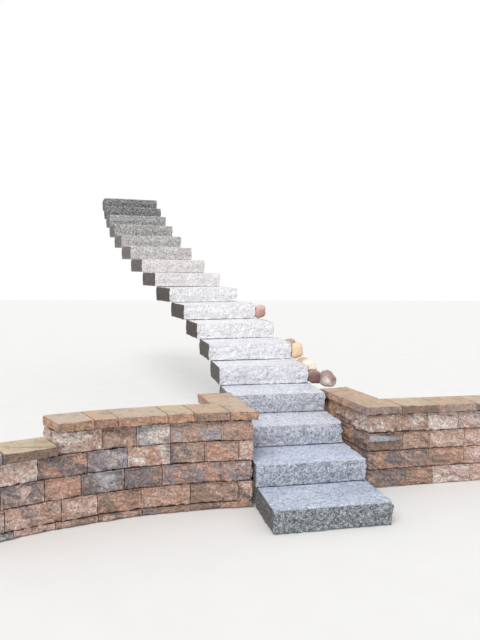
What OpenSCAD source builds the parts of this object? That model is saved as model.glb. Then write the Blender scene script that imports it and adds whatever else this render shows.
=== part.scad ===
// Outdoor stone steps. Rock-faced granite slabs climb a bank, each one lapped on the one below,
// straight for the lowest few and then in a gentle bend to the left. A low retaining wall of
// split-face blocks meets the flight on either side and turns back along it as a cheek wall.
// The left wall is hollowed on plan to a wide arc and steps down one course near its far end.
// X runs to the right along the bottom riser, Y into the bank and Z up. The origin is the middle
// of the bottom slab's bed.

/* [Flight] */
// Number of slabs
step_count = 17; // [12:1:20]
// Width of a slab from end to end
step_w = 906; // [860:2:960]
// Thickness of a slab, which is the rise from tread to tread
rise = 178; // [165:1:190]
// Going from riser to riser along the middle of the flight
going = 440; // [420:2:460]
// How far a slab runs in under the one above
lap = 51; // [45:1:80]
// Eased edge where a tread meets its rock face
arris = 6; // [2:1:10]
// How far the belly of a riser stands proud of its top edge
riser_belly = 9; // [0:1:14]
// How far the belly of a slab's end stands proud of its top edge
end_belly = 5; // [0:1:8]
// How far a slab's front corners are pitched off, measured at the belly
corner_pitch = 16; // [12:1:40]

/* [Bend] */
// Lean of the flight's path to the left at the bottom, in degrees
path_lean = 1.8; // [0:0.1:3]
// How much further the path swings to the left, in degrees
path_swing = 17.2; // [0:0.1:20]
// How far the path swings back towards the top, in degrees
path_return = 15; // [0:0.1:18]
// Where the path starts to swing, counted in slabs
path_from = 4.1; // [3:0.1:6]
// How far the slabs themselves are turned to the left, in degrees
slab_swing = 15; // [0:0.1:18]
// How far the slabs turn back towards the top, in degrees
slab_return = 11.6; // [0:0.1:14]
// Where the slabs start to turn, counted in slabs
slab_from = 4.8; // [3:0.1:6]
// Middle of the bend, counted in slabs
bend_mid = 9.7; // [8:0.1:12]
// Where the bend has eased off, counted in slabs
bend_end = 17.3; // [14:0.1:20]

/* [Walls] */
// Height of a course of blocks
course_h = 159; // [150:1:165]
// Depth of a block from face to back
block_d = 240; // [200:5:280]
// How far the split face of a block bulges
face_belly = 7; // [0:1:12]
// Bevel along the top and bottom edges of a block's face
face_bevel = 5; // [2:1:8]
// Thickness of a cap
cap_h = 76; // [60:1:90]
// Depth of a cap from front to back
cap_d = 290; // [270:5:320]
// How far a cap overhangs the face below it
cap_over = 32; // [20:1:40]
// Eased edge round a cap's top
cap_ease = 4; // [1:1:8]

/* [Left wall] */
// Distance of the left wall's corner behind the bottom riser
left_front = 502; // [480:2:560]
// Radius of the left wall's face on plan
left_radius = 3680; // [3000:20:5000]
// Turn of the left wall's face where it meets the corner, in degrees
left_skew = 5.9; // [0:0.1:8]
// Lean of the left cheek wall away from the flight, in degrees
left_cheek_lean = 5.8; // [3:0.1:10]
// Length of the left wall's face that stands at full height
left_high_len = 1450; // [1200:10:1700]
// Length of the left wall's face beyond the step down
left_low_len = 600; // [400:10:900]
// How far the wall's end at the step down is skewed from square, in degrees
left_end_skew = 9; // [0:0.5:15]
// Height of the base course that shows at the lowest ground
left_base_h = 56; // [30:1:100]
// How far short of the fourth slab's riser the left cheek wall ends
left_cheek_short = 106; // [60:2:200]

/* [Right wall] */
// Distance of the right wall's face behind the bottom riser
right_front = 711; // [680:1:760]
// Gap between the slabs and the right cheek cap's front corner
right_gap = 85; // [60:1:120]
// How far the right cheek wall runs past the fourth slab's riser
right_cheek_past = 180; // [120:5:240]
// Length of the right wall's face
right_len = 1500; // [1200:10:1800]

/* [Edging stones] */
// Split stone beside the fifth slab, as width, length and height
split_stone = [95, 160, 135]; // [60:5:200]
// How far the split stone stands forward of the fifth riser
split_forward = 70; // [40:5:110]
// Cobble outside the split stone
outer_cobble = [155, 200, 160]; // [100:5:240]
// How far the outer cobble laps along the split stone's side
outer_lap = 70; // [50:5:90]
// How far the outer cobble is sunk below the tread beside it
outer_sink = 20; // [0:5:40]
// Long cobble behind the split stone
long_cobble = [130, 320, 140]; // [90:5:330]
// Upright cobble beside the sixth slab
upright_cobble = [140, 125, 165]; // [100:5:200]
// Small cobble behind the upright one
small_cobble = [105, 140, 130]; // [90:5:160]
// Height of the long and the small cobble's feet above the bed of their slab
cobble_up = 60; // [50:2:80]
// Round cobble beside the eighth slab
round_cobble = [135, 115, 165]; // [100:5:200]
// How far the round cobble stands forward of the eighth riser
round_forward = 48; // [20:2:60]
// Gap between two stones that lie end to end
stone_gap = 3; // [1:1:10]
// Depth dressed off a stone where it bears on a slab or on another stone
stone_bearing = 8; // [4:1:12]

/* [Joints] */
// Gap left where a wall or an edging stone is butted against a slab
butt_gap = 0.3; // [0.2:0.1:1]

/* [Hidden] */
COURSES = 4;
LOW_COURSES = 3;
CHEEK_STEP = 4;
BELLY_AT = 0.55;
SPLIT = 0.35;
COBBLED = 0.75;
UNEVEN = 0.35;
SPLIT_WASTE = 1.6;
ACROSS = 0;
BACK = 1;
REACH = step_count * going;
slab_d = going + lap;
foot_y = -slab_d / 2;
high_deg = left_high_len / left_radius * 180 / PI - left_skew;
low_deg = high_deg + left_low_len / left_radius * 180 / PI;
left_reach = max([for (k = [1:COURSES], z = [rise * (1 + BELLY_AT), left_bed(k) + course_h / 2])
    end_out(z - rise) + face_out(z - left_bed(k))]);
left_corner = [
    foot(2).x - step_w / 2 - butt_gap - left_reach / cos(left_cheek_lean),
    foot_y + left_front
];
left_centre = left_corner - left_radius * [sin(left_skew), cos(left_skew)];
high_end = left_centre + left_radius * [-sin(high_deg), cos(high_deg)];
right_y = foot_y + right_front;
right_cap_corner = [step_w / 2 + right_gap, right_y - cap_over];
right_cap_end = slab_side(CHEEK_STEP, right_cheek_past) + [butt_gap, 0];
right_lean = atan((right_cap_corner.x - right_cap_end.x) / (right_cap_end.y - right_cap_corner.y));
right_corner = right_cap_corner + [cap_over / cos(right_lean) - cap_over * tan(right_lean), cap_over];
left_cheek_len = (foot(CHEEK_STEP).y - left_cheek_short - left_corner.y) / cos(left_cheek_lean);
right_cheek_len = (right_cap_end.y + cap_over * sin(right_lean) - right_y) / cos(right_lean);
rough_stone = [SPLIT_WASTE * split_stone.x, split_stone.y, split_stone.z];
split_back = stone_reach(rough_stone, SPLIT, 1, BACK, -1) - split_forward;
long_back = split_back + stone_reach(rough_stone, SPLIT, 1, BACK, 1) + stone_gap
    + stone_reach(long_cobble, COBBLED, 2, BACK, -1);
upright_back = stone_reach(upright_cobble, COBBLED, 3, BACK, -1);
small_back = upright_back + stone_reach(upright_cobble, COBBLED, 3, BACK, 1) + stone_gap
    + stone_reach(small_cobble, COBBLED, 3, BACK, -1);
round_back = stone_reach(round_cobble, COBBLED, 4, BACK, -1) - round_forward;
outer_back = outer_lap - split_forward - stone_reach(outer_cobble, COBBLED, 5, BACK, 1);
stone_colours = ["dimgray", "wheat", "tan", "rosybrown", "mistyrose"];

$fn = 96;

// The flight's path

// An even start and stop between 0 and 1
function ease(t) = let (c = min(max(t, 0), 1)) c * c * (3 - 2 * c);

// Direction of the path at slab number s, in degrees to the left
function path_turn(s) = path_lean
    + path_swing * ease((s - path_from) / (bend_mid - path_from))
    - path_return * ease((s - bend_mid) / (bend_end - bend_mid));

// How far slab i is turned to the left, in degrees
function slab_turn(i) = slab_swing * ease((i - slab_from) / (bend_mid - slab_from))
    - slab_return * ease((i - bend_mid) / (bend_end - bend_mid));

// Middle of slab i's riser on plan
function foot(i) = i == 1
    ? [0, foot_y]
    : foot(i - 1) + going * [-sin(path_turn(i - 0.5)), cos(path_turn(i - 0.5))];

// A vector on plan, turned to the left
function turned(v, a) = [v.x * cos(a) - v.y * sin(a), v.x * sin(a) + v.y * cos(a)];

// Point on slab i's right end, a distance back from its riser
function slab_side(i, back) = foot(i) + turned([step_w / 2 + end_belly, back], slab_turn(i));

// Slabs

// A rock face from the bed up to the tread, as [how far behind the nominal face, height]
function rock_edge(belly) = [
    [0, 0],
    [-0.6 * belly, 0.2 * rise],
    [-belly, BELLY_AT * rise],
    [0, rise - arris],
    [arris, rise]
];

// How far a slab's end stands out at a height above its bed
function end_out(z) = -lookup(z, [for (p = rock_edge(end_belly)) [p.y, p.x]]);

// A slab's outline on plan at its belly, with the front corners pitched off
function slab_plan() = let (side = step_w / 2 + end_belly) [
    [-side, slab_d],
    [-side, corner_pitch - riser_belly],
    [corner_pitch - side, -riser_belly],
    [side - corner_pitch, -riser_belly],
    [side, corner_pitch - riser_belly],
    [side, slab_d]
];

// One slab with the middle of its riser at the origin and its bed on the ground
module slab() {
    riser = rock_edge(riser_belly);
    end = rock_edge(end_belly);
    intersection() {
        linear_extrude(rise)
            polygon(slab_plan());
        rotate([90, 0, 90])
            translate([0, 0, -step_w])
                linear_extrude(2 * step_w)
                    polygon(concat(riser, [[slab_d, rise], [slab_d, 0]]));
        rotate([90, 0, 0])
            translate([0, 0, -2 * slab_d])
                linear_extrude(3 * slab_d)
                    polygon(concat(
                        [for (p = end) [p.x - step_w / 2, p.y]],
                        [for (n = [len(end) - 1:-1:0]) [step_w / 2 - end[n].x, end[n].y]]
                    ));
    }
}

module step(i) {
    color("lightsteelblue")
        translate([foot(i).x, foot(i).y, (i - 1) * rise])
            rotate(slab_turn(i))
                slab();
}

// Walls

// A split face from the bed up, bulged and with bevelled edges
function face_edge(height) = [
    [face_bevel, 0],
    [0, face_bevel],
    [-face_belly, height / 2],
    [0, height - face_bevel],
    [face_bevel, height]
];

// How far a full course's face stands out at a height above its bed
function face_out(z) = z < 0 || z > course_h
    ? -block_d
    : -lookup(z, [for (p = face_edge(course_h)) [p.y, p.x]]);

// A course from its face to its square back
function course_outline(height) = concat(face_edge(height), [[block_d, height], [block_d, 0]]);

// A cap from front to back, with its top edges eased
function cap_outline() = [
    [-cap_over, 0],
    [-cap_over, cap_h - cap_ease],
    [-cap_over + cap_ease, cap_h],
    [cap_d - cap_over - cap_ease, cap_h],
    [cap_d - cap_over, cap_h - cap_ease],
    [cap_d - cap_over, 0]
];

// All that lies on one side of a line on plan: side 1 is its right, -1 its left
module half_plan(point, lean, side) {
    translate([point.x, point.y, -REACH / 2])
        rotate(lean)
            translate([side > 0 ? 0 : -REACH, -REACH, 0])
                cube([REACH, 2 * REACH, REACH]);
}

// Part of the left wall's arc, between two angles from its middle line, to the left
module left_arc(outline, from_deg, to_deg) {
    translate([left_centre.x, left_centre.y, 0])
        rotate(90 + from_deg)
            rotate_extrude(angle = to_deg - from_deg, $fn = 720)
                translate([left_radius, 0])
                    polygon(outline);
}

// A round column on the left wall's centre, which trims what meets the arc
module left_column(r) {
    translate([left_centre.x, left_centre.y, -REACH / 2])
        cylinder(r = left_radius + r, h = REACH, $fn = 720);
}

// A straight run from a corner back into the bank, faced towards the flight
module cheek_run(outline, corner, lean, length, side) {
    translate([corner.x, corner.y, 0])
        rotate(lean)
            rotate([90, 0, 0])
                translate([0, 0, -length])
                    linear_extrude(length + block_d)
                        polygon([for (p = outline) [side * p.x, p.y]]);
}

// Height of the bed of course k, counted from the base
function left_bed(k) = left_base_h + (k - 1) * course_h;
function right_bed(k) = (k - 1) * course_h;

// What lies on the high side (1) or the low side (-1) of the left wall's step down
module beside_step(side) {
    intersection() {
        children();
        half_plan(high_end, high_deg + left_end_skew, side);
    }
}

// Odd courses of the front run through to the cheek's face, and even ones stop behind it
module left_front_course(bed, height, through) {
    color("peru")
        intersection() {
            translate([0, 0, bed])
                left_arc(course_outline(height), -3 * left_skew, low_deg);
            half_plan(
                left_corner - (through ? 0 : block_d) * [cos(left_cheek_lean), sin(left_cheek_lean)],
                left_cheek_lean, -1);
        }
}

module left_cheek_part(bed, height, through) {
    color("tan")
        difference() {
            translate([0, 0, bed])
                cheek_run(course_outline(height), left_corner, left_cheek_lean, left_cheek_len, -1);
            left_column(through ? 0 : block_d);
        }
}

module left_base_course() {
    left_front_course(0, left_base_h, false);
}

module left_cheek_base_course() {
    left_cheek_part(0, left_base_h, true);
}

module left_course(k) {
    if (k > LOW_COURSES)
        beside_step(1)
            left_front_course(left_bed(k), course_h, k % 2 == 1);
    else
        left_front_course(left_bed(k), course_h, k % 2 == 1);
}

module left_cheek_course(k) {
    left_cheek_part(left_bed(k), course_h, k % 2 == 0);
}

module left_wall_cap() {
    color("burlywood")
        beside_step(1) intersection() {
            translate([0, 0, left_bed(COURSES + 1)])
                left_arc(cap_outline(), -3 * left_skew, low_deg);
            half_plan(
                left_corner + cap_over * [cos(left_cheek_lean), sin(left_cheek_lean)],
                left_cheek_lean, -1);
        }
}

module left_low_cap() {
    color("burlywood")
        beside_step(-1)
            translate([0, 0, left_bed(LOW_COURSES + 1)])
                left_arc(cap_outline(), 0, low_deg);
}

module left_cheek_cap() {
    color("burlywood")
        difference() {
            translate([0, 0, left_bed(COURSES + 1)])
                cheek_run(cap_outline(), left_corner, left_cheek_lean, left_cheek_len, -1);
            left_column(cap_d - cap_over);
        }
}

module right_front_run(outline, bed, setback) {
    inset = setback / cos(right_lean);
    intersection() {
        translate([0, right_y, bed])
            rotate([90, 0, 90])
                linear_extrude(right_corner.x + right_len)
                    polygon(outline);
        half_plan(right_corner + [inset, 0], right_lean, 1);
    }
}

module right_course(k) {
    color("peru")
        right_front_run(course_outline(course_h), right_bed(k), k % 2 == 1 ? 0 : block_d);
}

// A cheek's run on the right, cut off square behind the front wall's line
module right_cheek_part(outline, bed, setback) {
    difference() {
        translate([0, 0, bed])
            cheek_run(outline, right_corner, right_lean, right_cheek_len, 1);
        translate([-REACH, right_y + setback - REACH, -REACH / 2])
            cube([2 * REACH, REACH, REACH]);
    }
}

module right_cheek_course(k) {
    color("tan")
        right_cheek_part(course_outline(course_h), right_bed(k), k % 2 == 1 ? block_d : 0);
}

module right_wall_cap() {
    color("burlywood")
        right_front_run(cap_outline(), right_bed(COURSES + 1), -cap_over);
}

module right_cheek_cap() {
    color("burlywood")
        right_cheek_part(cap_outline(), right_bed(COURSES + 1), cap_d - cap_over);
}

// Edging stones

// Which side of a stone corner n is on along an axis: -1 or 1
function corner_side(n, axis) = floor(n / pow(2, axis)) % 2 == 0 ? -1 : 1;

// How far corner n of a stone is drawn in along an axis, as a share. Each number gives its own stone.
function drawn_in(n, axis, number) = UNEVEN * (1 + sin(137 * n + 75 * axis + 50 * number)) / 2;

// Radius of a stone's corners
function stone_round(size, roundness) = roundness * min(size) / 2;

// Middle of the round at corner n of a stone, from the stone's middle
function stone_corner(n, size, roundness, number) = [for (axis = [0:2])
    corner_side(n, axis) * (size[axis] / 2 - stone_round(size, roundness))
        * (1 - drawn_in(n, axis, number))
];

// How far a stone reaches from its middle along an axis, to its high side (1) or its low one (-1)
function stone_reach(size, roundness, number, axis, side) = stone_round(size, roundness)
    + max([for (n = [0:7]) side * stone_corner(n, size, roundness, number)[axis]]);

// A fieldstone with eight uneven corners, standing on its bed
module fieldstone(size, roundness, number) {
    translate([0, 0, size.z / 2])
        hull()
            for (n = [0:7])
                translate(stone_corner(n, size, roundness, number))
                    sphere(stone_round(size, roundness), $fn = 16);
}

// Lays a stone hard against slab i's right end, with its middle a distance back from the riser and
// its foot a height above the slab's bed. A stone in the outer row starts a distance out from the
// slab, and width is the room that the stone has.
module against(i, back, up, size, roundness, number, out = 0, width = REACH) {
    middle = stone_reach(size, roundness, number, ACROSS, -1);
    translate([slab_side(i, 0).x, slab_side(i, 0).y, (i - 1) * rise])
        rotate(slab_turn(i))
            intersection() {
                translate([out + middle - stone_bearing, back, up])
                    fieldstone(size, roundness, number);
                translate([out + butt_gap, -REACH, -REACH])
                    cube([width - butt_gap, 2 * REACH, 2 * REACH]);
            }
}

module edging_stone(j) {
    color(stone_colours[j - 1]) {
        if (j == 1)
            against(5, split_back, butt_gap, rough_stone, SPLIT, j, 0, split_stone.x);
        if (j == 2)
            against(5, long_back, cobble_up, long_cobble, COBBLED, j);
        if (j == 3) {
            against(6, upright_back, butt_gap, upright_cobble, COBBLED, j);
            against(6, small_back, cobble_up, small_cobble, COBBLED, j);
        }
        if (j == 4)
            against(8, round_back, butt_gap, round_cobble, COBBLED, j);
        if (j == 5)
            against(5, outer_back, -outer_sink, outer_cobble, COBBLED, j, split_stone.x);
    }
}

for (i = [1:step_count])
    step(i);
left_base_course();
left_cheek_base_course();
for (k = [1:COURSES]) {
    left_course(k);
    left_cheek_course(k);
    right_course(k);
    right_cheek_course(k);
}
left_wall_cap();
left_low_cap();
left_cheek_cap();
right_wall_cap();
right_cheek_cap();
for (j = [1:len(stone_colours)])
    edging_stone(j);
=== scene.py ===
# %% [markdown]
# Outdoor stone steps, dressed. The imported solids give every stone its place and size, and this
# lesson gives each one its real surface: split granite risers with flamed treads, dry walls of
# split-face blocks, their smooth-topped caps, and a few fieldstones. The frame comes first,
# because all places are read from it.

import math
import random

import bmesh
import bpy
from mathutils import Matrix, Vector


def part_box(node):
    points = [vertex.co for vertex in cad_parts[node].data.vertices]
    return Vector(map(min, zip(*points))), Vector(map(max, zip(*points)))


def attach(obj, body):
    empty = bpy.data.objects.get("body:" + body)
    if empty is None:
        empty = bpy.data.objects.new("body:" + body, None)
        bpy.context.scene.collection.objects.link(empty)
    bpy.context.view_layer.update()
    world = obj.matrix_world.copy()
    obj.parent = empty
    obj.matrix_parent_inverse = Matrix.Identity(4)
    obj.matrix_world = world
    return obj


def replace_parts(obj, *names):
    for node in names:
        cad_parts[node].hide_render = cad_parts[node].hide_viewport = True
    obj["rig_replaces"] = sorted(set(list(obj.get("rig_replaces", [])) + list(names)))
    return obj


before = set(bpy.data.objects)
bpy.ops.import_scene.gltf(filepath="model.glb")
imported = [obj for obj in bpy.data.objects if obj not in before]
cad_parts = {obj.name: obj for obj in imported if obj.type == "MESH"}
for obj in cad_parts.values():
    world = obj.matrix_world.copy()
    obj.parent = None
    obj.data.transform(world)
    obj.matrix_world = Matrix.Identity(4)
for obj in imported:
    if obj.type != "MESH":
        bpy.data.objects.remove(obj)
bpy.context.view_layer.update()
print("nodes in the frame:", len(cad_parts))

# %% [markdown]
# A camera is a place, a heading and a lens. It could be set by eye, but lining up the slabs'
# corners with the picture is surer: 1.84 m above the foot of the flight, looking slightly down and
# to the right, and a little askew. The lens is its focal length in picture rows, which a long side
# of 640 rows turns into millimetres.

# %% Camera
scene = bpy.context.scene
PICTURE_ROWS = 640
FOCAL_ROWS = 599.3
EYE = Vector((-1.572, -4.109, 1.842))
YAW, PITCH, ROLL = -0.2204, -0.0853, 0.0134


def aim(yaw, pitch, roll):
    """Turns a camera that looks along +Y to its heading, as a matrix."""
    level = Matrix.Rotation(yaw, 4, "Z") @ Matrix.Rotation(pitch, 4, "X")
    return level @ Matrix.Rotation(roll, 4, "Y").inverted() @ Matrix.Rotation(math.pi / 2, 4, "X")


lens = bpy.data.cameras.new("camera")
lens.lens = FOCAL_ROWS / PICTURE_ROWS * lens.sensor_width
camera = bpy.data.objects.new("camera", lens)
scene.collection.objects.link(camera)
camera.matrix_world = Matrix.Translation(EYE) @ aim(YAW, PITCH, ROLL)
scene.camera = camera
print("camera lens:", round(lens.lens, 2), "mm")

# %% [markdown]
# Stone outdoors is lit softly from every side, so the light is a pale world with one wide soft
# lamp, high in front and a little to the left. The world looks white to the camera but sends the
# stone less light than that, which keeps pale granite from burning out. The floor is a plain pale
# sheet.

# %% Floor, world and lamp
WORLD_LEVEL = 0.72
SUN_LEVEL = 1.62
SUN_WIDTH = math.radians(36)
SUN_TURN = (math.radians(32), math.radians(-27), 0)
FLOOR_REACH = 60

bpy.ops.mesh.primitive_plane_add(size=FLOOR_REACH, location=(0, 0, 0))
floor = bpy.context.object
floor.name = "floor"

studio = bpy.data.worlds.new("studio")
scene.world = studio
scene.view_settings.view_transform = "Standard"

sun_data = bpy.data.lights.new("sun", "SUN")
sun_data.energy = SUN_LEVEL
sun_data.angle = SUN_WIDTH
sun = bpy.data.objects.new("sun", sun_data)
scene.collection.objects.link(sun)
sun.rotation_euler = SUN_TURN
print("lamp level:", SUN_LEVEL)

# %% [markdown]
# Every finish is a small network of nodes. Written out node by node it is hard to follow, so a
# class wraps one socket and lets Python's own signs add the Math nodes.


# %% Sockets that can be added
class Wire:
    """One output socket. Arithmetic on it, from either side, adds Math nodes."""

    def __init__(self, finish, socket):
        self.finish = finish
        self.socket = socket

    def sum_of(self, operation, first, second):
        return self.finish.node("Math", {"operation": operation}, {0: first, 1: second})

    def __add__(self, other):
        return self.sum_of("ADD", self, other)

    def __sub__(self, other):
        return self.sum_of("SUBTRACT", self, other)

    def __rsub__(self, other):
        return self.sum_of("SUBTRACT", other, self)

    def __mul__(self, other):
        return self.sum_of("MULTIPLY", self, other)

    __radd__ = __add__
    __rmul__ = __mul__


# %% [markdown]
# A second class holds a material. One method makes any node, and the others are the moves that
# stone needs. The scale of a noise is how often it changes in a metre: 9 gives clouds of a hand's
# width and 200 gives crystals of 5 mm. The depth of a bump is in metres.

# %% Materials
STONE_SHEEN = 0.35


class Finish:
    """A material, and the ways to add nodes to it."""

    def __init__(self, name, data=None):
        self.data = data or bpy.data.materials.new(name)
        self.data.use_nodes = True
        self.tree = self.data.node_tree
        self.tree.nodes.clear()

    def node(self, kind, settings=None, sockets=None, output=0):
        """A node of a kind, with its settings made first and then its sockets set or linked."""
        made = self.tree.nodes.new("ShaderNode" + kind)
        for name, value in (settings or {}).items():
            setattr(made, name, value)
        for name, value in (sockets or {}).items():
            if isinstance(value, Wire):
                self.tree.links.new(value.socket, made.inputs[name])
            else:
                made.inputs[name].default_value = value
        return Wire(self, made.outputs[output])

    def place(self, stretch=(1, 1, 1), turn=(0, 0, 0)):
        """Where a point lies in the frame, in metres. A pattern that reads it is drawn out by
        the stretch along each axis, and then turned."""
        here = self.node("TexCoord", output="Object")
        sockets = {"Vector": here, "Rotation": turn, "Scale": stretch}
        return self.node("Mapping", {"vector_type": "TEXTURE"}, sockets)

    def noise(self, scale, detail=2.0, rough=0.5, vector=None):
        sockets = {"Scale": scale, "Detail": detail, "Roughness": rough}
        return self.node("TexNoise", {}, {"Vector": vector or self.place(), **sockets})

    def crystals(self, scale):
        """A random number for each cell of a crystal pattern."""
        sockets = {"Vector": self.place(), "Scale": scale}
        return self.node("SeparateColor", {}, {0: self.node("TexVoronoi", {}, sockets, "Color")})

    def between(self, value, low, high):
        """0 below low, 1 above high, and a soft step between them."""
        sockets = {"Value": value, "From Min": low, "From Max": high}
        return self.node("MapRange", {"interpolation_type": "SMOOTHSTEP"}, sockets)

    def facing_up(self, low, high):
        """1 on a flat top and 0 on a wall, from how far the surface leans."""
        normal = self.node("NewGeometry", output="Normal")
        return self.between(self.node("SeparateXYZ", {}, {0: normal}, 2), low, high)

    def mix(self, share, first, second, blend="MIX"):
        """Two colours mixed. A share of 0 is the first and of 1 the second."""
        opaque = [(*c, 1) if isinstance(c, tuple) else c for c in (first, second)]
        settings = {"data_type": "RGBA", "blend_type": blend}
        return self.node("Mix", settings, {0: share, 6: opaque[0], 7: opaque[1]}, 2)

    def toned(self, body, share, low, high):
        """A colour times a tone, from low where the share is 0 to high where it is 1."""
        return self.mix(1.0, body, self.mix(share, low, high), "MULTIPLY")

    def brought(self, name, output="Color"):
        """A colour or a number that the mesh brings as an attribute."""
        return self.node("Attribute", {"attribute_name": name}, {}, output)

    def bump(self, height, depth, under=None):
        sockets = {"Height": height, "Distance": depth, "Strength": 1.0}
        if under:
            sockets["Normal"] = under
        return self.node("Bump", {}, sockets)

    def either(self, share, first, second):
        """Two bumps mixed by a share."""
        return self.node("Mix", {"data_type": "VECTOR"}, {0: share, 4: first, 5: second}, 1)

    def surface(self, colour, roughness, normal=None):
        sockets = {"Base Color": colour, "Roughness": roughness, "Specular IOR Level": STONE_SHEEN}
        if normal:
            sockets["Normal"] = normal
        self.node_out(self.node("BsdfPrincipled", {}, sockets), "OutputMaterial")
        return self.data

    def node_out(self, shader, kind):
        made = self.tree.nodes.new("ShaderNode" + kind)
        self.tree.links.new(shader.socket, made.inputs["Surface"])


def paint(red, green, blue):
    """A colour as it is seen, in 0 to 255, turned to the linear numbers that shaders use."""
    return tuple(((c / 255 + 0.055) / 1.055) ** 2.4 for c in (red, green, blue))


# %% [markdown]
# The world is a network too, so the same class makes it. The camera's own rays, and those that
# come by way of a gloss or a glass, find plain white, and all others find the world's level. The
# floor hardly varies, so shadows on it read clearly.

# %% The world and the floor
air = Finish("studio", studio)
kinds = ("Camera", "Glossy", "Transmission")
rays = [air.node("LightPath", output=f"Is {kind} Ray") for kind in kinds]
seen = air.between(rays[0] + rays[1] + rays[2], 0.0, 1.0)
level = seen * (1 - WORLD_LEVEL) + WORLD_LEVEL
air.node_out(air.node("Background", {}, {"Color": (1, 1, 1, 1), "Strength": level}), "OutputWorld")

ground = Finish("pale_floor")
floor_colour = ground.mix(ground.noise(3.0, 4.0), paint(233, 232, 230), paint(238, 238, 237))
floor.data.materials.append(ground.surface(floor_colour, 0.9))
print("world level:", WORLD_LEVEL)

# %% [markdown]
# Modelling by operators means selecting first. These helpers pick edges, faces or points by where
# they are, and an operator then acts on just those. A box is the start of every squared stone
# here, and never the end of one.

# %% Selecting by place
PARALLEL = 0.999


def only(piece):
    """Makes a piece the one selected and active object."""
    bpy.ops.object.select_all(action="DESELECT")
    piece.select_set(True)
    bpy.context.view_layer.objects.active = piece


def start_edit():
    """Opens the active piece for editing, with all of it selected."""
    bpy.ops.object.mode_set(mode="EDIT")
    bpy.ops.mesh.select_all(action="SELECT")


def end_edit():
    """Deselects the mesh and closes it."""
    bpy.ops.mesh.select_all(action="DESELECT")
    bpy.ops.object.mode_set(mode="OBJECT")


def add_box(name, low, high):
    """A box between two corners, with its place in its mesh."""
    bpy.ops.mesh.primitive_cube_add(size=1, location=(low + high) / 2)
    box = bpy.context.object
    box.scale = high - low
    bpy.ops.object.transform_apply(location=True, rotation=True, scale=True)
    box.name = name
    box.data.name = name
    return box


def pick(piece, mode, wanted):
    """Selects in edit mode. mode is VERT, EDGE or FACE, and wanted gets the part of the mesh."""
    bpy.ops.mesh.select_mode(type=mode)
    bpy.ops.mesh.select_all(action="DESELECT")
    shape = bmesh.from_edit_mesh(piece.data)
    parts = {"VERT": shape.verts, "EDGE": shape.edges, "FACE": shape.faces}[mode]
    for part in parts:
        if wanted(part):
            part.select_set(True)
    shape.select_flush_mode()
    bmesh.update_edit_mesh(piece.data)


def runs_along(edge, axis):
    """Whether an edge is parallel to an axis: 0, 1 or 2."""
    span = edge.verts[1].co - edge.verts[0].co
    return abs(span[axis]) > PARALLEL * span.length


def middle(edge):
    return (edge.verts[0].co + edge.verts[1].co) / 2


# %% [markdown]
# Slab, wall block and cap are all the same to a mason: a squared stone with some faces split and
# the rest sawn. One function cuts them all. It pitches or eases the upright edges, cuts the walls
# into cells, fine where the stone is split and coarse where it is hidden, and chamfers top and
# bed. The flat top stays one face, so the cells go where the relief is.

# %% Cutting a squared stone
SIDES = {
    "front": Vector((0, -1, 0)),
    "back": Vector((0, 1, 0)),
    "left": Vector((-1, 0, 0)),
    "right": Vector((1, 0, 0)),
}
TOUCH = 1e-4
HIDDEN_CELLS = 5
LEVEL_FACE = 0.9


def on_side(point, low, high, side):
    """How far a point lies inside one side of a box."""
    out = SIDES[side]
    axis = 0 if out.x else 1
    return high[axis] - point[axis] if out[axis] > 0 else point[axis] - low[axis]


def cut_stone(name, low, high, pitch, pitched, ease, cell, split):
    """A squared stone between two corners. pitch is how far the upright edges of the pitched
    sides are cut back, ease the chamfer of its top and bed, cell the size of a fine cell, and
    split names the sides that are split."""
    stone = add_box(name, low + Vector((0, 0, ease)), high - Vector((0, 0, ease)))
    start_edit()
    pick(stone, "EDGE", lambda e: runs_along(e, 2) and any(
        on_side(middle(e), low, high, side) < TOUCH for side in pitched))
    bpy.ops.mesh.bevel(offset=pitch, segments=1, affect="EDGES")
    pick(stone, "EDGE", lambda e: runs_along(e, 2))
    bpy.ops.mesh.subdivide(number_cuts=round((high.z - low.z) / cell) - 1)
    for side in SIDES:
        axis = 1 if SIDES[side].x else 0
        size = cell if side in split else HIDDEN_CELLS * cell
        cuts = max(round((high[axis] - low[axis] - 2 * pitch) / size) - 1, 1)
        pick(stone, "EDGE", lambda e: runs_along(e, axis) and (
            on_side(middle(e), low, high, side) < TOUCH))
        bpy.ops.mesh.subdivide(number_cuts=cuts)
    pick(stone, "EDGE", lambda e: not any(runs_along(e, axis) for axis in range(3)))
    bpy.ops.mesh.subdivide(number_cuts=max(round(math.sqrt(2) * pitch / cell) - 1, 1))
    for up in (1, -1):
        pick(stone, "FACE", lambda f: f.normal.z * up > LEVEL_FACE)
        bpy.ops.mesh.inset(thickness=ease, depth=ease)
    end_edit()
    return stone


# %% [markdown]
# A riser isn't flat: the mason pitches its edges, so the middle stands proud as a belly. One
# row of points is pulled out with proportional editing, and its neighbours follow less and less.
# The same move, made at a single point, knocks a corner off.


# %% Pulling points
def pull(stone, wanted, move, reach):
    """Moves the wanted points, and those within reach of them less and less."""
    start_edit()
    pick(stone, "VERT", wanted)
    bpy.ops.transform.translate(
        value=move,
        use_proportional_edit=True,
        proportional_edit_falloff="SMOOTH",
        proportional_size=reach,
    )
    end_edit()


def pull_belly(stone, low, high, side, height, proud):
    """Pulls out the row of points nearest a height on one side."""
    row = min(abs(v.co.z - height) for v in stone.data.vertices) + TOUCH
    pull(stone, lambda v: abs(v.co.z - height) < row and on_side(v.co, low, high, side) < TOUCH,
         SIDES[side] * proud, high.z - height)


def knock_off(stone, corner, move, reach):
    """Knocks a corner off by moving the point nearest to it."""
    only(stone)
    near = min((v.co - corner).length for v in stone.data.vertices) + TOUCH
    pull(stone, lambda v: (v.co - corner).length < near, move, reach)


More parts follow.
